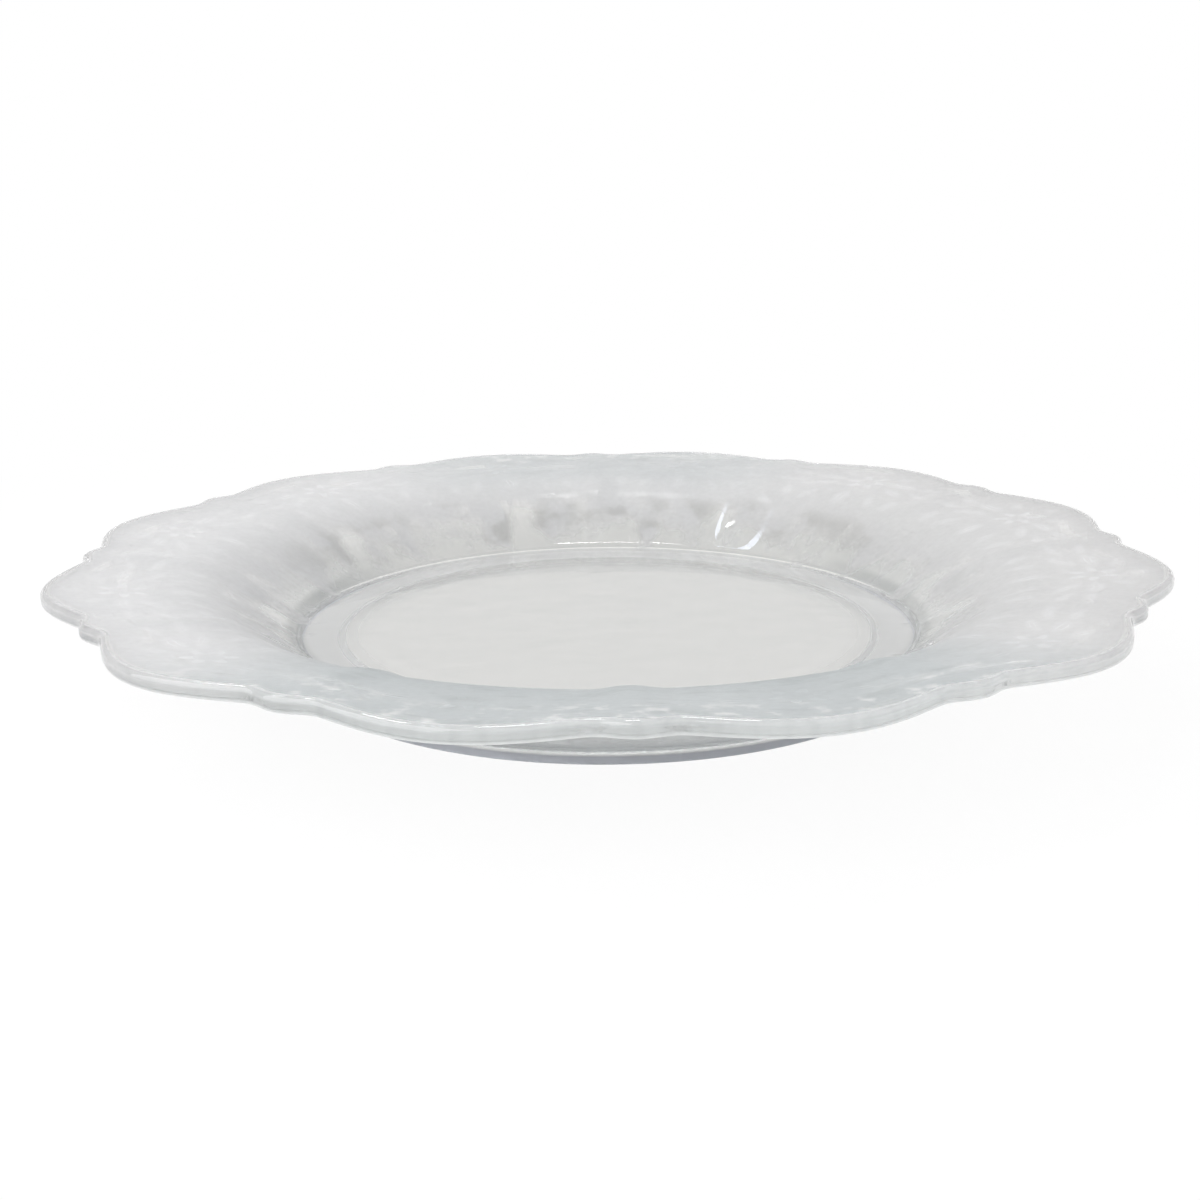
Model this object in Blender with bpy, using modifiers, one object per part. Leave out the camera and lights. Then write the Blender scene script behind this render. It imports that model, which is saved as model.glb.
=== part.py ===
# Salad plate of clear pressed glass: one body with a lobed rim, a nib and a rib between every two
# lobes, a sloping shoulder, a flat well and a ring foot. Metres, +Z up, standing on z = 0.
from math import atan2, cos, hypot, pi, radians, sin, tan

import bmesh
import bpy
from mathutils import Vector

# Driving dimensions: the rim
ACROSS_LOBES = 0.203
LOBES = 12
RIM_HEIGHT = 0.0217
EDGE_THICKNESS = 0.0026
EDGE_ROUNDING = 0.0010
RIM_ROOT_THICKNESS = 0.0032

# The notches, with a small nib between each pair, and the ribs that run in from the nibs
NOTCH_DEPTH = 0.0047
NIB_REACH = 0.0013
NIB_HALF_ANGLE = radians(3.36)
LOBE_FULLNESS = 1.2
RIB_HEIGHT = 0.0006
RIB_SHARE_AT_EDGE = 0.25
UNDERSIDE_SHARE = 0.4

# The well and the shoulder that rises from it
WELL_RADIUS = 0.0583
WELL_HEIGHT = 0.0077
WELL_FILLET = 0.0025
SHOULDER_SLOPE = radians(34.4)
SHOULDER_RUN = 0.0162
SHOULDER_THICKNESS = 0.0048
SHOULDER_FILLET = 0.0200

# The ring foot
FOOT_OUTER = 0.0581
FOOT_INNER = 0.0509
FOOT_DRAFT = 0.0011
FOOT_ROUNDING = 0.0005
RECESS_HEIGHT = 0.0022

# Facets round the axis, crowded towards the nibs so that a facet edge falls on every notch,
# and rings of facets across the plain stretches of the section, as shares of each stretch
STEPS_PER_LOBE = 12
NIB_STEPS = 2
SHOULDER_RINGS = (0.4,)
RIM_RINGS = (0.45, 0.7, 0.85)
UNDER_RIM_RINGS = (0.2, 0.45)
SMOOTH_BELOW = radians(35)

GLASS_COLOUR = (0.86, 0.88, 0.89, 1.0)
GLASS_ROUGHNESS = 0.08
GLASS_IOR = 1.52

LOBE_RADIUS = ACROSS_LOBES / 2
PITCH = 2 * pi / LOBES
SHOULDER_TOP = WELL_RADIUS + SHOULDER_RUN
RIB_HALF_WIDTH = NIB_HALF_ANGLE * LOBE_RADIUS
NIB_SPREAD = PITCH / STEPS_PER_LOBE * NIB_STEPS
CROWDING = (NIB_SPREAD - NIB_HALF_ANGLE) / sin(LOBES * NIB_SPREAD)


def smooth(low, high, value):
    """0 below low, 1 above high, with a soft change between them."""
    share = min(max((value - low) / (high - low), 0.0), 1.0)
    return share * share * (3 - 2 * share)


def rounded(before, corner, after, radius, segments):
    """Points of the arc that rounds a corner of the section."""
    back = (before - corner).normalized()
    ahead = (after - corner).normalized()
    half = back.angle(ahead) / 2
    centre = corner + (back + ahead).normalized() * radius / sin(half)
    start = corner + back * radius / tan(half) - centre
    end = corner + ahead * radius / tan(half) - centre
    chord = [start.lerp(end, step / segments) for step in range(segments + 1)]
    return [centre + point.normalized() * radius for point in chord]


def under_corners(bend):
    """Where the underside meets the foot, and where its shoulder turns into the rim."""
    slope = tan(SHOULDER_SLOPE)
    foot_root = FOOT_OUTER + FOOT_DRAFT
    shoulder_drop = SHOULDER_THICKNESS / cos(SHOULDER_SLOPE)
    root_height = WELL_HEIGHT + (foot_root - WELL_RADIUS) * slope - shoulder_drop

    lip_height = RIM_HEIGHT - EDGE_THICKNESS
    rim_height = bend.y - RIM_ROOT_THICKNESS
    rim_slope = (lip_height - rim_height) / (LOBE_RADIUS - bend.x)
    gap = rim_height - root_height - (bend.x - foot_root) * slope
    turn = bend.x + gap / (slope - rim_slope)
    return Vector((foot_root, root_height)), Vector((turn, rim_height + (turn - bend.x) * rim_slope))


def plate_section():
    """Half section at a lobe, from the middle of the well over the rim to the middle underneath."""
    middle = Vector((0.0, WELL_HEIGHT))
    well = Vector((WELL_RADIUS, WELL_HEIGHT))
    bend = Vector((SHOULDER_TOP, WELL_HEIGHT + SHOULDER_RUN * tan(SHOULDER_SLOPE)))
    lip_top = Vector((LOBE_RADIUS, RIM_HEIGHT))
    lip_bottom = Vector((LOBE_RADIUS, RIM_HEIGHT - EDGE_THICKNESS))
    foot_root, under_bend = under_corners(bend)
    foot_outside = Vector((FOOT_OUTER, 0.0))
    foot_inside = Vector((FOOT_INNER, 0.0))
    recess = Vector((FOOT_INNER - FOOT_DRAFT, RECESS_HEIGHT))
    under_middle = Vector((0.0, RECESS_HEIGHT))

    points = [middle]
    points += rounded(middle, well, bend, WELL_FILLET, 2)
    points += [well.lerp(bend, share) for share in SHOULDER_RINGS]
    points += rounded(well, bend, lip_top, SHOULDER_FILLET, 4)
    points += [bend.lerp(lip_top, share) for share in RIM_RINGS]
    points += rounded(bend, lip_top, lip_bottom, EDGE_ROUNDING, 2)
    points += rounded(lip_top, lip_bottom, under_bend, EDGE_ROUNDING, 2)
    points += [lip_bottom.lerp(under_bend, share) for share in UNDER_RIM_RINGS]
    points += rounded(lip_bottom, under_bend, foot_root, SHOULDER_FILLET, 3)
    points += [foot_root]
    points += rounded(foot_root, foot_outside, foot_inside, FOOT_ROUNDING, 2)
    points += [foot_inside, recess, under_middle]
    return points


def turned_blank(name, section):
    """The section turned round the plate's axis, as a mesh."""
    profile = bpy.data.meshes.new(name + "_section")
    edges = [(i, i + 1) for i in range(len(section) - 1)]
    profile.from_pydata([(point.x, 0.0, point.y) for point in section], edges, [])
    turned = bpy.data.objects.new(name + "_turned", profile)
    bpy.context.scene.collection.objects.link(turned)

    screw = turned.modifiers.new("Turn", "SCREW")
    screw.axis = "Z"
    screw.steps = STEPS_PER_LOBE * LOBES
    screw.render_steps = screw.steps
    screw.use_merge_vertices = True
    screw.merge_threshold = 0.00001

    evaluated = turned.evaluated_get(bpy.context.evaluated_depsgraph_get())
    blank = bpy.data.meshes.new_from_object(evaluated)
    bpy.data.objects.remove(turned)
    bpy.data.meshes.remove(profile)
    return blank


def outline_inset(turn):
    """How far the outline lies inside the lobes' circle, at an angle from the nearest nib."""
    if turn < NIB_HALF_ANGLE:
        return NOTCH_DEPTH - NIB_REACH * cos(pi / 2 * turn / NIB_HALF_ANGLE) ** 2
    along = (turn - NIB_HALF_ANGLE) / (PITCH / 2 - NIB_HALF_ANGLE)
    return NOTCH_DEPTH * (1 - sin(pi / 2 * along) ** LOBE_FULLNESS)


def rib_rise(radius, turn):
    """Height of the nearest rib, which starts at the well, is full at the bend and low at the edge."""
    aside = radius * turn
    if aside >= RIB_HALF_WIDTH:
        return 0.0
    start = smooth(WELL_RADIUS, (WELL_RADIUS + SHOULDER_TOP) / 2, radius)
    fade = 1 - (1 - RIB_SHARE_AT_EDGE) * smooth(SHOULDER_TOP, LOBE_RADIUS, radius)
    return RIB_HEIGHT * start * fade * cos(pi / 2 * aside / RIB_HALF_WIDTH) ** 2


def press_lobes(blank):
    """Presses the lobes, nibs and ribs into the turned blank, as the mould does."""
    edge_middle = RIM_HEIGHT - EDGE_THICKNESS / 2
    for vertex in blank.vertices:
        x, y, z = vertex.co
        radius = hypot(x, y)
        if radius < WELL_RADIUS / 2:
            continue
        angle = atan2(y, x)
        angle -= CROWDING * sin(LOBES * angle)
        turn = abs((angle + PITCH / 2) % PITCH - PITCH / 2)
        upper = z > edge_middle or vertex.normal.z > 0
        rise = rib_rise(radius, turn) * (1.0 if upper else UNDERSIDE_SHARE)
        radius -= outline_inset(turn) * smooth(SHOULDER_TOP, LOBE_RADIUS, radius)
        vertex.co = (radius * cos(angle), radius * sin(angle), z + rise)


def clear_glass():
    """Clear, fire-polished glass with a faint cool grey."""
    material = bpy.data.materials.new("clear_pressed_glass")
    material.use_nodes = True
    shader = material.node_tree.nodes["Principled BSDF"]
    shader.inputs["Base Color"].default_value = GLASS_COLOUR
    shader.inputs["Roughness"].default_value = GLASS_ROUGHNESS
    shader.inputs["Metallic"].default_value = 0.0
    shader.inputs["IOR"].default_value = GLASS_IOR
    shader.inputs["Transmission Weight"].default_value = 1.0
    return material


def make_plate(name, collection):
    """The plate as one pressed body."""
    mesh = turned_blank(name, plate_section())
    mesh.name = name
    press_lobes(mesh)
    body = bmesh.new()
    body.from_mesh(mesh)
    bmesh.ops.triangulate(body, faces=body.faces)
    body.to_mesh(mesh)
    body.free()
    mesh.shade_smooth()
    mesh.set_sharp_from_angle(angle=SMOOTH_BELOW)
    mesh.materials.clear()
    mesh.materials.append(clear_glass())
    plate = bpy.data.objects.new(name, mesh)
    collection.objects.link(plate)
    return plate


def main():
    for old in list(bpy.data.objects):
        bpy.data.objects.remove(old)
    collection = bpy.data.collections.new("salad_plate")
    bpy.context.scene.collection.children.link(collection)
    make_plate("glass_plate", collection)


main()
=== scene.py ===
from math import atan2, cos, hypot, pi, radians, sin, tan
import bpy
from mathutils import Matrix, Vector


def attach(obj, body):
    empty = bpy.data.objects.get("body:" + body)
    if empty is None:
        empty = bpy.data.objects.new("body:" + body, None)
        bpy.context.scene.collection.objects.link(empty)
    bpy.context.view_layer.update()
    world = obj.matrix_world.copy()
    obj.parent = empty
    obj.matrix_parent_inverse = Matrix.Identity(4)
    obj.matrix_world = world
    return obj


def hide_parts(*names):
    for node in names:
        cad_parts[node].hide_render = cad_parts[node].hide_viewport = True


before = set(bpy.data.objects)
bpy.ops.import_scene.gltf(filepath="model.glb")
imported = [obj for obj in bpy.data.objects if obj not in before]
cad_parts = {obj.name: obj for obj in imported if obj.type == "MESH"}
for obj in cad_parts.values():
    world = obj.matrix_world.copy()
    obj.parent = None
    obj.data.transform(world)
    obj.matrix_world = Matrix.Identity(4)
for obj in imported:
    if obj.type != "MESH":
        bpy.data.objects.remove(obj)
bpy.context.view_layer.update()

bounces = 40  # light runs a long way inside a glass plate
scene = bpy.context.scene
scene.view_settings.view_transform = "Standard"
scene.cycles.max_bounces = bounces
scene.cycles.transmission_bounces = bounces
scene.cycles.glossy_bounces = bounces


# A node's socket that can be used in sums, so that shader maths reads as an expression
class Wire:
    def __init__(self, tree, socket=None):
        self.tree = tree
        self.socket = socket

    def node(self, kind, settings=None, sockets=None, output=0):
        made = self.tree.nodes.new(kind)
        for name, value in (settings or {}).items():
            if name == "stops":
                fillRamp(made.color_ramp, value)
            else:
                setattr(made, name, value)
        for name, value in (sockets or {}).items():
            if isinstance(value, Wire):
                self.tree.links.new(value.socket, made.inputs[name])
            else:
                made.inputs[name].default_value = value
        return Wire(self.tree, made.outputs[output] if made.outputs else None)

    def other(self, output):  # another output of the same node
        return Wire(self.tree, self.socket.node.outputs[output])

    def maths(self, operation, first, *rest):
        sockets = dict(enumerate((first, *rest)))
        return self.node("ShaderNodeMath", {"operation": operation}, sockets)

    def __add__(self, term):
        return self.maths("ADD", self, term)

    def __sub__(self, term):
        return self.maths("SUBTRACT", self, term)

    def __mul__(self, term):
        return self.maths("MULTIPLY", self, term)

    def __truediv__(self, term):
        return self.maths("DIVIDE", self, term)

    def __pow__(self, term):
        return self.maths("POWER", self, term)

    def __radd__(self, term):
        return self.maths("ADD", term, self)

    def __rsub__(self, term):
        return self.maths("SUBTRACT", term, self)

    def __rmul__(self, term):
        return self.maths("MULTIPLY", term, self)

    def __neg__(self):
        return self.maths("MULTIPLY", self, -1.0)

    def __abs__(self):
        return self.maths("ABSOLUTE", self)

    def clamped(self):
        return self.node("ShaderNodeClamp", {}, {"Value": self})

    def over(self, low, high):  # 0 below low, 1 above high, with a soft change between them
        sockets = {"Value": self, "From Min": low, "From Max": high}
        return self.node("ShaderNodeMapRange", {"interpolation_type": "SMOOTHSTEP"}, sockets)

    def within(self, rise, full, ebb, gone):  # 1 from full to ebb, 0 before rise and after gone
        return self.over(rise, full) * (1 - self.over(ebb, gone))

    def largest(self, term):
        return self.maths("MAXIMUM", self, term)

    def mixed(self, low, high):  # two colours, by this value
        return self.node("ShaderNodeMix", {"data_type": "RGBA"}, {0: self, 6: low, 7: high}, 2)

    def noise(self, scale, detail, output="Fac"):  # at this place
        sockets = {"Vector": self, "Scale": scale, "Detail": detail}
        return self.node("ShaderNodeTexNoise", {}, sockets, output)


def fillRamp(ramp, stops):
    for index, (place, colour) in enumerate(stops):
        element = ramp.elements[index] if index < 2 else ramp.elements.new(place)
        element.position = place
        element.color = colour


def emptyMaterial(name):
    material = bpy.data.materials.new(name)
    material.use_nodes = True
    material.node_tree.nodes.clear()
    return material, Wire(material.node_tree)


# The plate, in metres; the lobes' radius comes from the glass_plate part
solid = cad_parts["glass_plate"].data
plate = {
    "lobes": 12,
    "lobeRadius": max(hypot(v.co.x, v.co.y) for v in solid.vertices),
    "rimHeight": 0.0217,
    "edgeThickness": 0.0026,
    "edgeRounding": 0.0010,
    "rimRootThickness": 0.0032,
    "notchDepth": 0.0047,
    "nibReach": 0.0013,
    "nibHalfAngle": radians(3.36),
    "notchBlur": radians(0.7),  # fire polishing rounds the notches
    "lobeFullness": 1.2,
    "ribHeight": 0.0006,
    "ribShareAtEdge": 0.21,
    "ribFadesFrom": 0.088,
    "undersideShare": 0.4,  # of the ribs' height, on the other side of the glass
    "wellRadius": 0.0583,
    "wellHeight": 0.0077,
    "wellFillet": 0.0025,
    "shoulderSlope": radians(34.4),
    "shoulderRun": 0.0162,
    "shoulderThickness": 0.0048,
    "shoulderFillet": 0.0200,
    "footOuter": 0.0581,
    "footInner": 0.0509,
    "footDraft": 0.0011,
    "footRounding": 0.0005,
    "recessHeight": 0.0022,
    "arcSteps": {"well": 8, "bend": 10, "lip": 7, "under": 8, "foot": 4},
    "rings": (7, 7, 12, 9, 6, 2, 3, 1, 6),  # on each straight stretch, from the well's middle on
    "stepsPerLobe": 60,
    "weld": 0.000001,
    "smoothBelow": radians(40),
}
pitch = 2 * pi / plate["lobes"]
shoulderTop = plate["wellRadius"] + plate["shoulderRun"]
ribHalfWidth = plate["nibHalfAngle"] * plate["lobeRadius"]


def softStep(low, high, value):
    share = min(max((value - low) / (high - low), 0.0), 1.0)
    return share * share * (3 - 2 * share)


def roundedCorner(before, corner, after, radius, segments):
    back = (before - corner).normalized()
    ahead = (after - corner).normalized()
    half = back.angle(ahead) / 2
    centre = corner + (back + ahead).normalized() * radius / sin(half)
    start = corner + back * radius / tan(half) - centre
    end = corner + ahead * radius / tan(half) - centre
    chord = [start.lerp(end, step / segments) for step in range(segments + 1)]
    return [centre + point.normalized() * radius for point in chord]


def between(start, end, rings):  # rings on a straight stretch, its two ends left out
    return [start.lerp(end, ring / (rings + 1)) for ring in range(1, rings + 1)]


# Half section at a lobe: out over the well and rim, round the lip and back underneath
def plateSection():
    p = plate
    slope = tan(p["shoulderSlope"])
    middle = Vector((0.0, p["wellHeight"]))
    well = Vector((p["wellRadius"], p["wellHeight"]))
    bend = Vector((shoulderTop, p["wellHeight"] + p["shoulderRun"] * slope))
    lipTop = Vector((p["lobeRadius"], p["rimHeight"]))
    lipBottom = Vector((p["lobeRadius"], p["rimHeight"] - p["edgeThickness"]))

    rootRadius = p["footOuter"] + p["footDraft"]
    shoulderDrop = p["shoulderThickness"] / cos(p["shoulderSlope"])
    rootHeight = well.y + (rootRadius - well.x) * slope - shoulderDrop
    footRoot = Vector((rootRadius, rootHeight))
    rimUnder = bend.y - p["rimRootThickness"]
    rimSlope = (lipBottom.y - rimUnder) / (lipBottom.x - bend.x)
    turn = bend.x + (rimUnder - rootHeight - (bend.x - rootRadius) * slope) / (slope - rimSlope)
    underBend = Vector((turn, rimUnder + (turn - bend.x) * rimSlope))
    footOutside = Vector((p["footOuter"], 0.0))
    footInside = Vector((p["footInner"], 0.0))
    recess = Vector((p["footInner"] - p["footDraft"], p["recessHeight"]))
    underMiddle = Vector((0.0, p["recessHeight"]))

    steps = p["arcSteps"]
    wellArc = roundedCorner(middle, well, bend, p["wellFillet"], steps["well"])
    bendArc = roundedCorner(well, bend, lipTop, p["shoulderFillet"], steps["bend"])
    lipArc = roundedCorner(bend, lipTop, lipBottom, p["edgeRounding"], steps["lip"])
    lipArc += roundedCorner(lipTop, lipBottom, underBend, p["edgeRounding"], steps["lip"])
    underArc = roundedCorner(lipBottom, underBend, footRoot, p["shoulderFillet"], steps["under"])
    footArc = roundedCorner(footRoot, footOutside, footInside, p["footRounding"], steps["foot"])
    innerArc = roundedCorner(footOutside, footInside, recess, p["footRounding"], steps["foot"])
    recessArc = roundedCorner(footInside, recess, underMiddle, p["footRounding"], steps["foot"])
    runs = [wellArc, bendArc, lipArc, underArc, [footRoot], footArc, innerArc, recessArc, [underMiddle]]
    points = [middle]
    for run, rings in zip(runs, p["rings"]):
        points += between(points[-1], run[0], rings) + run
    return points


# How far the outline lies inside the lobes' circle, at an angle from the nearest nib
def outlineInset(turn):
    p = plate
    turn = abs(turn)
    if turn < p["nibHalfAngle"]:
        return p["notchDepth"] - p["nibReach"] * cos(pi / 2 * turn / p["nibHalfAngle"]) ** 2
    turn = min(turn, pitch - turn)
    along = (turn - p["nibHalfAngle"]) / (pitch / 2 - p["nibHalfAngle"])
    return p["notchDepth"] * (1 - sin(pi / 2 * along) ** p["lobeFullness"])


def polishedInset(turn):
    offsets = (-1.0, -0.5, 0.0, 0.5, 1.0)
    return sum(outlineInset(turn + share * plate["notchBlur"]) for share in offsets) / len(offsets)


def ribRise(radius, turn):
    p = plate
    aside = radius * turn
    if aside >= ribHalfWidth:
        return 0.0
    start = softStep(p["wellRadius"], (p["wellRadius"] + shoulderTop) / 2, radius)
    fade = 1 - (1 - p["ribShareAtEdge"]) * softStep(p["ribFadesFrom"], p["lobeRadius"], radius)
    return p["ribHeight"] * start * fade * cos(pi / 2 * aside / ribHalfWidth) ** 2


# Presses the mould's lobes, nibs and ribs into the turned glass. The attribute is how far a point
# lies out over the top and back underneath, in millimetres.
def pressLobes(mesh):
    edgeMiddle = plate["rimHeight"] - plate["edgeThickness"] / 2
    faceUp = [vertex.normal.z > 0 for vertex in mesh.vertices]  # read before the points move
    reach = mesh.attributes.new("etchReach", "FLOAT", "POINT")
    for vertex, upper in zip(mesh.vertices, faceUp):
        x, y, z = vertex.co
        radius = hypot(x, y)
        topSide = upper or z > edgeMiddle
        reach.data[vertex.index].value = 1000 * (radius if topSide else 2 * plate["lobeRadius"] - radius)
        if radius < plate["wellRadius"] / 2:
            continue
        angle = atan2(y, x)
        turn = abs((angle + pitch / 2) % pitch - pitch / 2)
        share = 1.0 if topSide else plate["undersideShare"]
        rise = ribRise(radius, turn) * share
        radius -= polishedInset(turn) * softStep(shoulderTop, plate["lobeRadius"], radius)
        vertex.co = (radius * cos(angle), radius * sin(angle), z + rise)


def closeSeams():
    bpy.ops.mesh.select_all(action="SELECT")
    bpy.ops.mesh.remove_doubles(threshold=plate["weld"])
    bpy.ops.mesh.normals_make_consistent(inside=False)
    bpy.ops.object.mode_set(mode="OBJECT")


def makePlate():
    section = plateSection()
    bpy.ops.object.select_all(action="DESELECT")
    bpy.ops.mesh.primitive_plane_add(size=plate["edgeThickness"])
    made = bpy.context.object
    made.name = "plate_glass"
    made.data.name = "plate_glass"
    bpy.ops.object.mode_set(mode="EDIT")
    bpy.ops.mesh.select_mode(type="VERT")
    bpy.ops.mesh.select_all(action="SELECT")
    bpy.ops.mesh.merge(type="CENTER")  # down to one point, which then draws the section
    bpy.ops.transform.translate(value=(section[0].x, 0, section[0].y))
    for last, point in zip(section, section[1:]):
        step = point - last
        bpy.ops.mesh.extrude_vertices_move(TRANSFORM_OT_translate={"value": (step.x, 0, step.y)})
    bpy.ops.mesh.select_all(action="SELECT")
    bpy.ops.mesh.spin(steps=plate["stepsPerLobe"], angle=pitch, center=(0, 0, 0), axis=(0, 0, 1))
    closeSeams()
    pressLobes(made.data)

    bpy.ops.object.mode_set(mode="EDIT")  # the other lobes are copies of this one
    bpy.ops.mesh.select_all(action="SELECT")
    copies = plate["lobes"] - 1
    bpy.ops.mesh.spin(steps=copies, dupli=True, angle=copies * pitch, center=(0, 0, 0), axis=(0, 0, 1))
    closeSeams()
    bpy.ops.object.shade_smooth_by_angle(angle=plate["smoothBelow"])
    return made


glassPlate = makePlate()
print("plate pressed,", len(glassPlate.data.polygons), "faces")

# The clear glass and the frost; a band is where it begins, is whole, begins to end and has ended.
# Reaches are millimetres out over the top (101 is the lip) and back underneath (203 is the middle),
# heights and radii are metres, and directions are cosines.
glass = {
    "ior": 1.52,
    "clearColour": (0.99, 0.985, 0.965, 1.0),
    "clearRoughness": 0.02,
    "underRoughness": 0.20,  # the mould's side is less bright, and the foot is worn by standing
    "underside": (104.0, 112.0),
    "footRoughness": 0.45,
    "depthColour": (0.50, 0.55, 0.56, 1.0),  # how light fades inside the glass
    "depthDensity": 4.0,
    "ripple": (110.0, 0.00003),  # scale and depth of the fire polish
    "lipRipple": (420.0, 0.000035),
    "rippleDetail": 1.0,
    "lip": (97.5, 100.0, 103.0, 105.5),
    "facing": (0.25, 0.75),  # from the sides to front and back
    "shoulderShade": (0.25, 0.27, 0.27, 1.0),  # painted shade, low on the underside: front, back and sides
    "shoulderShadeBehind": (0.37, 0.375, 0.365, 1.0),
    "shoulderShadeBeside": (0.46, 0.47, 0.46, 1.0),
    "shoulderShadeBand": (119.0, 137.0, 143.1, 143.7),
    "lipShade": (0.84, 0.85, 0.835, 1.0),  # painted shade on the lip's edge: front and back, and the sides
    "lipShadeBeside": (0.55, 0.54, 0.54, 1.0),
    "lipFacing": (0.55, 0.95),
    "lipShadeBand": (99.8, 100.8, 103.4, 104.4),
    "lipLumps": (0.45, 0.47, 0.46, 1.0),  # the thick and thin of the edge
    "lipLumpBrush": (60.0, 0.5),
    "lipLumpLevels": (0.45, 0.65),
    "lipLumpShare": 0.22,
    "filletShadeColour": (0.60, 0.61, 0.60, 1.0),  # painted shade at the well's edge, darker on the left
    "filletShadeLeft": (0.45, 0.46, 0.455, 1.0),
    "fillet": (56.4, 58.2, 59.4, 61.2),
    # painted shadow: the floor under the plate, seen through the well
    "recessShadow": (0.55, 0.55, 0.535, 1.0),
    "recess": (148.0, 152.0),
    "footContactShade": (0.46, 0.47, 0.475, 1.0),  # painted shade on the flat that the plate stands on
    "footInside": (0.0450, 0.0505),
    "footTop": (0.0020, 0.0026),
    "footFlat": (0.0004, 0.0012),
    "footWallShade": (0.28, 0.30, 0.36, 1.0),  # painted shade and dark reflection on the outside of the ring, which reads blue-grey
    "wallShadeBehind": (0.50, 0.51, 0.51, 1.0),
    "footWall": (0.0574, 0.0578),
    "wallTop": (0.0016, 0.0022),
    "frostColour": (0.80, 0.80, 0.81, 1.0),
    "frostRoughness": 0.75,
    "frostTransmission": 0.35,
    "frostGloss": 0.25,
    "throughColour": (0.91, 0.91, 0.91, 1.0),  # light that the frost scatters on through the plate
    "throughShare": 0.5,
    "leafColour": (0.98, 0.98, 0.99, 1.0),  # the etched motifs are whiter than the ground
    "leafShare": 0.7,
    # painted shade: the frost darker on the right, away from the left lamp
    "frostShadeRight": (0.75, 0.745, 0.745, 1.0),
    "rightFrom": (0.2, 0.9),
    "frontBackShade": (0.50, 0.55, 0.565, 1.0),  # painted shade in the frost: at the front, and less so at the back
    "shadeFront": (0.62, 0.90),
    "shadeBehind": (0.80, 0.98),
    "shadeAtBack": (0.6, 70.0, 84.0),  # how strong the painted shade is at the back, and from where
    "darkSpots": (0.40, 0.45, 0.46, 1.0),  # in the painted shade at the front and back
    "darkBrush": (9.0, 0.30),
    "darkLevels": (0.54, 0.66),
    "flecks": (0.93, 0.94, 0.94, 1.0),
    "fleckNoise": (320.0, 3.0),
    "fleckLevels": (0.53, 0.68),
    "flecked": (86.0, 96.0),
    "shadePatches": (0.52, 0.515, 0.50, 1.0),  # painted shade in patches low on the shoulder
    "patchNoise": (95.0, 3.0),
    "patchLevels": (0.48, 0.60),
    "patchReach": (59.0, 61.0, 68.0, 72.0),
    "patchShares": (0.2, 0.7),  # everywhere, and what the back adds
    "patchBehind": (0.2, 0.7),
}
# A generic drawing of blossoms and leaves, in millimetres. A noise is scale and detail, and a brush is
# its steps per radian and per millimetre of reach.
etching = {
    "fringe": (57.5, 69.5),  # where the brushed frost begins and where it is whole
    "whole": (68.5, 71.5),  # and from where no bare glass is left in it
    "feather": (20.0, 20.0),  # how unevenly it is brushed, in strokes and in clouds
    "tongues": (36, 1.8),  # its tongues round the plate and their reach
    "bareLip": (99.4, 100.6),
    "groundFrost": 0.90,
    "leafFrost": 0.98,
    "bareSpots": (0.40, 84.0, 92.0),  # how bare, and where they begin and are at their full
    "spotBrush": (7.0, 0.22),
    "spotLevels": (0.56, 0.74),
    "strokeBrush": (11.0, 0.06),
    "brushDetail": 2.0,
    "mottle": (130.0, 3.0),
    "mottled": (0.8, 0.4),  # the least frost, and what the mottle adds
    "grain": (900.0, 2.0),
    "grained": (0.92, 0.16),
    "stray": (220.0, 2.0),
    "wander": 1.6,  # how far the drawing strays
    "soft": 1.3,  # blur of an etched edge
    "vein": 0.5,
    "veinDepth": 0.4,
    "leafSwell": (0.7, 1.3),  # the power and the width of a leaf's outline
    "blossom": {"place": 88.0, "reach": 5.6, "petals": 6, "petalDepth": 0.28, "eye": 1.2},
    # leaves of half a lobe: place across it, radius, heading in degrees, length and width
    "leaves": [
        (5.5, 88.5, 12, 9.0, 4.0),
        (6.0, 86.0, -28, 8.5, 3.6),
        (5.0, 91.5, 42, 6.5, 3.2),
        (14.0, 90.0, 20, 7.5, 3.2),
        (13.5, 86.0, -15, 8.0, 3.4),
        (0.0, 94.0, 90, 4.0, 3.0),
        (0.0, 81.0, -90, 8.0, 4.0),
        (7.0, 80.0, -72, 7.0, 3.2),
        (15.0, 80.0, -110, 7.0, 3.2),
    ],
}


def fromAxis(axes):  # distance from the plate's axis
    return (axes * axes + axes.other("Y") * axes.other("Y")) ** 0.5


# Noise drawn out along the plate's radii or round it
def brushed(wire, axes, reach, brush):
    perTurn, perReach = brush
    radius = fromAxis(axes)
    sockets = {"X": axes / radius * perTurn, "Y": axes.other("Y") / radius * perTurn, "Z": reach * perReach}
    return wire.node("ShaderNodeCombineXYZ", {}, sockets).noise(1.0, etching["brushDetail"])


def etchedLeaf(across, out, heading, length, width):
    e = etching
    turn = radians(heading)
    along = across * cos(turn) + out * sin(turn)
    aside = abs(out * cos(turn) - across * sin(turn))
    share = (along / length).clamped()
    power, broad = e["leafSwell"]
    swell = (share * (1 - share)) ** power * (broad * width)
    blade = ((swell - aside) / e["soft"]).clamped()
    midrib = (aside / e["vein"]).clamped()
    return blade * (1 - e["veinDepth"] + e["veinDepth"] * midrib)


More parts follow.
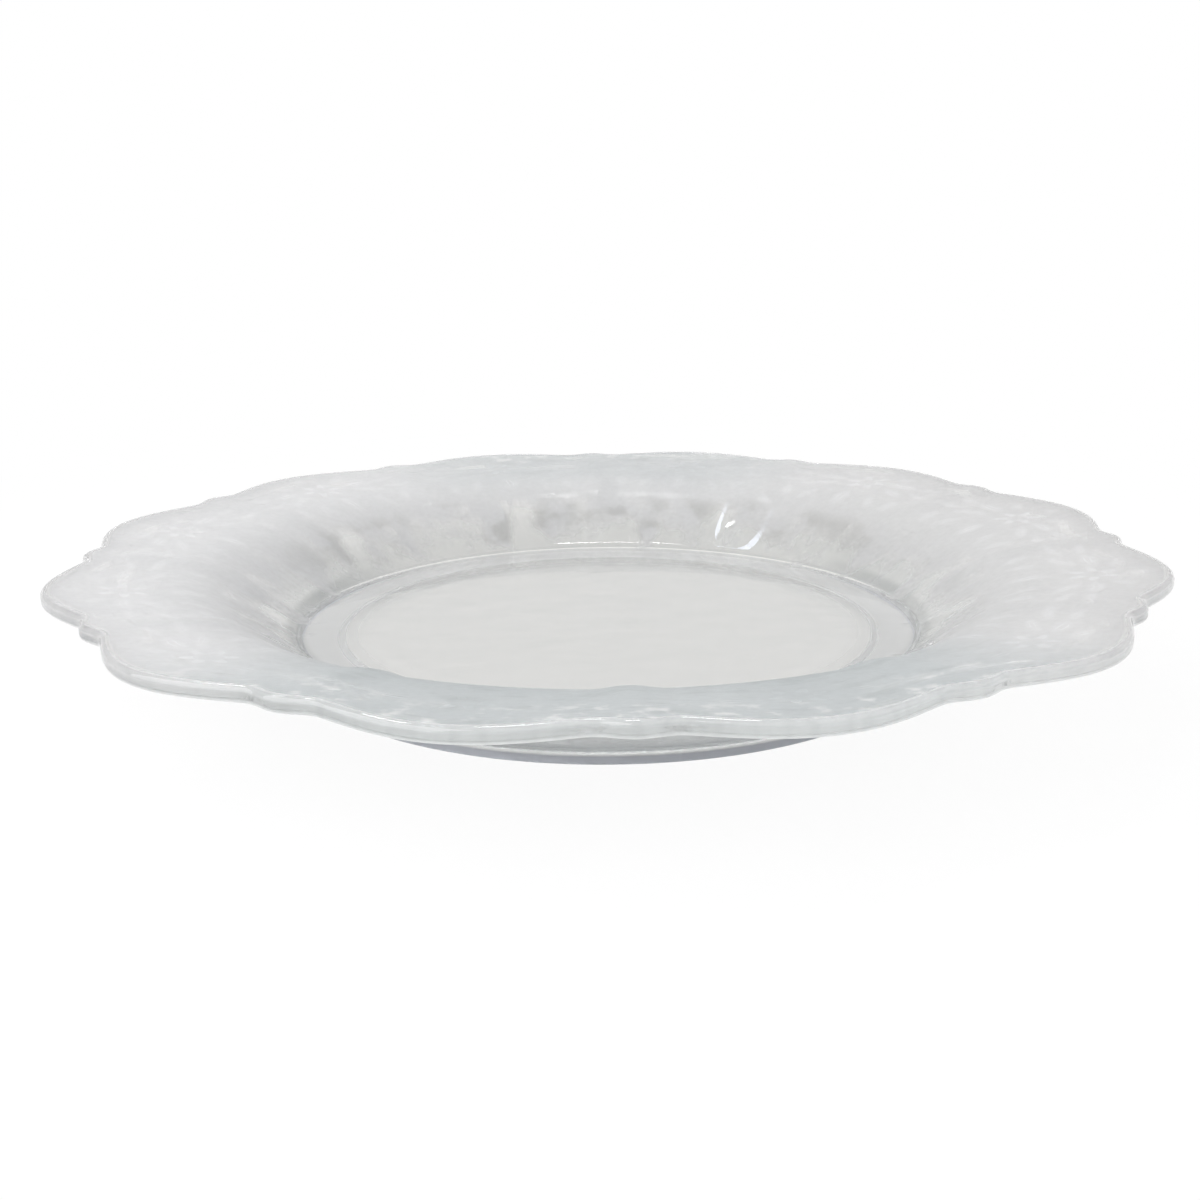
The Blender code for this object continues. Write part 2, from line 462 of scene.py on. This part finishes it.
# How frosted the glass is, and the drawing alone
def etchedFrost(wire, place, axes, reach):
    e = etching
    angle = wire.maths("ARCTAN2", axes.other("Y"), axes)
    stray = wire.node("ShaderNodeSeparateXYZ", {}, {"Vector": place.noise(*e["stray"], "Color")}, "X")
    across = abs(reach * (wire.maths("WRAP", angle, pitch, 0.0) - pitch / 2))
    across = across + (stray - 0.5) * e["wander"]
    out = reach + (stray.other("Y") - 0.5) * e["wander"]

    blossom = e["blossom"]
    depth = blossom["petalDepth"]
    up = out - blossom["place"]
    spread = (across * across + up * up) ** 0.5
    petals = wire.maths("COSINE", wire.maths("ARCTAN2", up, across) * blossom["petals"])
    etched = ((blossom["reach"] * (1 - depth + depth * petals) - spread) / e["soft"]).clamped()
    etched = etched * (spread - blossom["eye"]).clamped()
    for aside, root, heading, length, width in e["leaves"]:
        etched = etched.largest(etchedLeaf(across - aside, out - root, heading, length, width))

    tongues, tongueReach = e["tongues"]
    tongue = wire.maths("COSINE", angle * tongues) * tongueReach
    strokes = brushed(wire, axes, reach, e["strokeBrush"])
    mottle = place.noise(*e["mottle"])
    uneven = (strokes - 0.5) * e["feather"][0] + (mottle - 0.5) * e["feather"][1]
    fringe = (reach + tongue + uneven).over(*e["fringe"]).largest(reach.over(*e["whole"]))
    bare, bareFrom, bareTo = e["bareSpots"]
    spots = brushed(wire, axes, reach, e["spotBrush"]).over(*e["spotLevels"]) * reach.over(bareFrom, bareTo)
    least, cloud = e["mottled"]
    ground = e["groundFrost"] * (least + cloud * mottle) * (1 - bare * spots)
    fine, grain = e["grained"]
    frosted = fringe * ground.largest(etched * e["leafFrost"]) * (fine + grain * place.noise(*e["grain"]))
    return frosted.clamped() * (1 - reach.over(*e["bareLip"])), etched


# Colour and roughness of the clear glass. Its colour holds painted shade and painted reflection of what
# stands round it: low on the shoulder's underside, on the lip, at the well's edge, in the recess and on the
# foot.
def clearTintAndShade(wire, axes, reach):
    g = glass
    radius = fromAxis(axes)
    back = axes.other("Y") / radius
    height = axes.other("Z")
    facing = abs(back).over(*g["facing"])
    behind = back.over(*g["facing"])
    left = (-(axes / radius)).over(*g["facing"])

    # painted shadow in the recess under the well
    tintAndShade = reach.over(*g["recess"]).mixed(g["clearColour"], g["recessShadow"])
    # painted shade on the shoulder's underside, darkest at the front, lighter behind and at the sides
    shoulder = facing.mixed(g["shoulderShadeBeside"], g["shoulderShade"])
    shoulder = behind.mixed(shoulder, g["shoulderShadeBehind"])
    tintAndShade = reach.within(*g["shoulderShadeBand"]).mixed(tintAndShade, shoulder)
    # painted shade on the lip's edge, darker at the sides
    lip = abs(back).over(*g["lipFacing"]).mixed(g["lipShadeBeside"], g["lipShade"])
    lumps = brushed(wire, axes, reach, g["lipLumpBrush"]).over(*g["lipLumpLevels"])
    lip = (lumps * g["lipLumpShare"]).mixed(lip, g["lipLumps"])
    tintAndShade = reach.within(*g["lipShadeBand"]).mixed(tintAndShade, lip)
    # painted shade at the well's edge, at the sides, darker on the left
    fillet = left.mixed(g["filletShadeColour"], g["filletShadeLeft"])
    tintAndShade = (reach.within(*g["fillet"]) * (1 - facing)).mixed(tintAndShade, fillet)

    low = 1 - height.over(*g["footTop"])
    inFoot = radius.over(*g["footInside"]) * low
    # painted shade on the flat that the plate stands on
    tintAndShade = (inFoot * (1 - height.over(*g["footFlat"]))).mixed(tintAndShade, g["footContactShade"])
    # painted shade and dark reflection on the outside of the foot ring, lighter behind
    outside = radius.over(*g["footWall"])
    tintAndShade = (outside * (1 - height.over(*g["wallTop"]))).mixed(tintAndShade, g["footWallShade"])
    tintAndShade = (outside * low * behind).mixed(tintAndShade, g["wallShadeBehind"])
    under = reach.over(*g["underside"])
    roughness = g["clearRoughness"] + (g["underRoughness"] - g["clearRoughness"]) * under
    return tintAndShade, roughness + (g["footRoughness"] - g["underRoughness"]) * inFoot


# Colour of the frost, with painted shade: darker at the front, the back and the right, and in patches low
# on the shoulder
def frostTintAndShade(wire, place, axes, reach, etched):
    g = glass
    radius = fromAxis(axes)
    back = axes.other("Y") / radius
    # painted shade: the frost darker at the front and at the back
    howShaded, shadeFrom, shadeTo = g["shadeAtBack"]
    atFront = (-back).over(*g["shadeFront"])
    atBack = back.over(*g["shadeBehind"]) * reach.over(shadeFrom, shadeTo) * howShaded
    spots = brushed(wire, axes, reach, g["darkBrush"]).over(*g["darkLevels"])
    flecks = place.noise(*g["fleckNoise"]).over(*g["fleckLevels"]) * reach.over(*g["flecked"])
    shadedFrost = spots.mixed(g["frontBackShade"], g["darkSpots"])
    shadedFrost = flecks.mixed(shadedFrost, g["flecks"])

    # painted shade: the frost darker on the right
    plain = (axes / radius).over(*g["rightFrom"]).mixed(g["frostColour"], g["frostShadeRight"])
    plain = (etched * g["leafShare"]).mixed(plain, g["leafColour"])
    # painted shade in patches low on the shoulder, more at the back
    everywhere, added = g["patchShares"]
    low = reach.within(*g["patchReach"]) * (everywhere + added * back.over(*g["patchBehind"]))
    shadePatches = place.noise(*g["patchNoise"]).over(*g["patchLevels"])
    plain = (shadePatches * low).mixed(plain, g["shadePatches"])
    return atFront.largest(atBack).mixed(plain, shadedFrost)


def polishRipple(wire, place, reach):
    g = glass
    scale, depth = g["ripple"]
    lipScale, lipDepth = g["lipRipple"]
    slow = place.noise(scale, g["rippleDetail"])
    quick = place.noise(lipScale, g["rippleDetail"]) * reach.within(*g["lip"])
    height = slow * depth + quick * lipDepth
    return wire.node("ShaderNodeBump", {}, {"Height": height, "Distance": 1.0, "Strength": 1.0})


def makeGlass():
    material, wire = emptyMaterial("etched_pressed_glass")
    place = wire.node("ShaderNodeTexCoord", {}, {}, "Object")
    axes = wire.node("ShaderNodeSeparateXYZ", {}, {"Vector": place}, "X")
    reach = wire.node("ShaderNodeAttribute", {"attribute_name": "etchReach"}, {}, "Fac")
    tintAndShade, roughness = clearTintAndShade(wire, axes, reach)
    frosted, etched = etchedFrost(wire, place, axes, reach)
    clear = wire.node("ShaderNodeBsdfPrincipled", {}, {
        "Base Color": tintAndShade,
        "Roughness": roughness,
        "IOR": glass["ior"],
        "Transmission Weight": 1.0,
        "Normal": polishRipple(wire, place, reach),
    })
    frost = wire.node("ShaderNodeBsdfPrincipled", {}, {
        "Base Color": frostTintAndShade(wire, place, axes, reach, etched),
        "Roughness": glass["frostRoughness"],
        "IOR": glass["ior"],
        "Transmission Weight": glass["frostTransmission"],
        "Specular IOR Level": glass["frostGloss"],
    })
    through = wire.node("ShaderNodeBsdfTranslucent", {}, {"Color": glass["throughColour"]})
    frost = wire.node("ShaderNodeMixShader", {}, {0: glass["throughShare"], 1: frost, 2: through})
    both = wire.node("ShaderNodeMixShader", {}, {0: frosted, 1: clear, 2: frost})
    depth = wire.node("ShaderNodeVolumeAbsorption", {}, {
        "Color": glass["depthColour"],
        "Density": glass["depthDensity"],
    })
    wire.node("ShaderNodeOutputMaterial", {}, {"Surface": both, "Volume": depth})
    return material


glassPlate.data.materials.clear()
glassPlate.data.materials.append(makeGlass())
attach(glassPlate, "root")
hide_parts("glass_plate")
print("glass made,", len(glassPlate.active_material.node_tree.nodes), "nodes")

# The stage: a pale floor and a light tent
stage = {
    "floorRadius": 6.0,
    "floorSides": 64,
    "floorDrop": 0.0003,
    "floorColour": (0.95, 0.95, 0.95, 1.0),
    "glowNear": 0.93,  # how plain white the floor shows under the plate; far from it, wholly
    "fadeFrom": 0.10,
    "fadeTo": 0.26,
    "worldStops": [
        (0.00, (1.0, 1.0, 1.0, 1.0)),
        (0.10, (1.0, 1.0, 1.0, 1.0)),
        (0.17, (0.38, 0.40, 0.43, 1.0)),
        (0.45, (0.38, 0.40, 0.43, 1.0)),
        (0.65, (0.80, 0.80, 0.80, 1.0)),
        (0.90, (0.95, 0.95, 0.95, 1.0)),
    ],
    "backdrop": (0.85, 0.85, 0.85, 1.0),  # behind the plate, low down
    "backdropSide": (0.20, 0.60),
    "backdropFoot": (0.10, 0.17),
    "backdropTop": (0.35, 0.55),
}


def makeFloor():
    bpy.ops.object.select_all(action="DESELECT")
    bpy.ops.mesh.primitive_circle_add(
        vertices=stage["floorSides"], radius=stage["floorRadius"], fill_type="NGON")
    floor = bpy.context.object
    floor.name = "floor"
    floor.location.z = -stage["floorDrop"]
    material, wire = emptyMaterial("pale_floor")
    place = wire.node("ShaderNodeTexCoord", {}, {}, "Object")
    away = wire.node("ShaderNodeVectorMath", {"operation": "LENGTH"}, {0: place}, "Value")
    seen = wire.node("ShaderNodeLightPath", {}, {}, "Is Camera Ray")
    seen = seen.largest(seen.other("Is Glossy Ray")).largest(seen.other("Is Transmission Ray"))
    far = away.over(stage["fadeFrom"], stage["fadeTo"])
    share = seen * (stage["glowNear"] + (1 - stage["glowNear"]) * far)
    plain = wire.node("ShaderNodeBsdfDiffuse", {}, {"Color": stage["floorColour"]})
    white = wire.node("ShaderNodeEmission", {}, {"Strength": 1.0})
    both = wire.node("ShaderNodeMixShader", {}, {0: share, 1: plain, 2: white})
    wire.node("ShaderNodeOutputMaterial", {}, {"Surface": both})
    floor.data.materials.append(material)


def makeWorld():
    world = bpy.data.worlds.new("studio")
    scene.world = world
    world.use_nodes = True
    world.node_tree.nodes.clear()
    wire = Wire(world.node_tree)
    place = wire.node("ShaderNodeTexCoord", {}, {}, "Generated")
    height = wire.node("ShaderNodeSeparateXYZ", {}, {"Vector": place}, "Z")
    tent = wire.node("ShaderNodeValToRGB", {"stops": stage["worldStops"]}, {"Fac": height}, "Color")
    behind = height.other("Y").over(*stage["backdropSide"])
    behind = behind * height.within(*stage["backdropFoot"], *stage["backdropTop"])
    light = behind.mixed(tent, stage["backdrop"])
    shine = wire.node("ShaderNodeBackground", {}, {"Color": light, "Strength": 1.0})
    wire.node("ShaderNodeOutputWorld", {}, {"Surface": shine})


makeFloor()
makeWorld()
print("stage set")

# The camera stands where the photograph was taken from
camera = {
    "place": (-0.010886, -0.285672, 0.090245),
    "heading": radians(-1.8849),
    "tiltDown": radians(15.5457),
    "roll": radians(-0.5109),
    "lens": 46.662,
    "sensor": 36.0,
    "clip": 0.01,
}


def makeCamera():
    data = bpy.data.cameras.new("camera")
    data.sensor_width = camera["sensor"]
    data.lens = camera["lens"]
    data.clip_start = camera["clip"]
    made = bpy.data.objects.new("camera", data)
    scene.collection.objects.link(made)
    turned = Matrix.Rotation(camera["heading"], 4, "Z")
    tilted = Matrix.Rotation(pi / 2 - camera["tiltDown"], 4, "X")
    rolled = Matrix.Rotation(camera["roll"], 4, "Z")
    made.matrix_world = Matrix.Translation(camera["place"]) @ turned @ tilted @ rolled
    scene.camera = made


# A broad key lamp, and small ones for the streaks on the lip and at the well's edge
white = (1.0, 1.0, 1.0)
paleBlue = (0.75, 0.82, 1.0)
lampAim = Vector((0, 0, 0.01))
lamps = {
    "left": {"place": (-0.48, -0.24, 0.42), "size": (0.8, 0.7), "power": 3.3, "colour": white},
    "overhead": {"place": (0.0, 0.30, 0.75), "size": (0.16, 0.11), "power": 0.72, "colour": white},
    "window": {"place": (-0.19, 0.30, 0.75), "size": (0.06, 0.06), "power": 0.08, "colour": paleBlue},
    "side": {"place": (-0.30, 0.35, 0.65), "size": (0.04, 0.16), "power": 0.55, "colour": white},
}


def makeLamps():
    for name, lamp in lamps.items():
        data = bpy.data.lights.new(name, "AREA")
        data.shape = "RECTANGLE"
        data.size, data.size_y = lamp["size"]
        data.energy = lamp["power"]
        data.color = lamp["colour"]
        made = bpy.data.objects.new(name, data)
        scene.collection.objects.link(made)
        made.location = lamp["place"]
        made.rotation_euler = (lampAim - made.location).to_track_quat("-Z", "Y").to_euler()


makeCamera()
makeLamps()
print("camera and", len(lamps), "lamps placed")
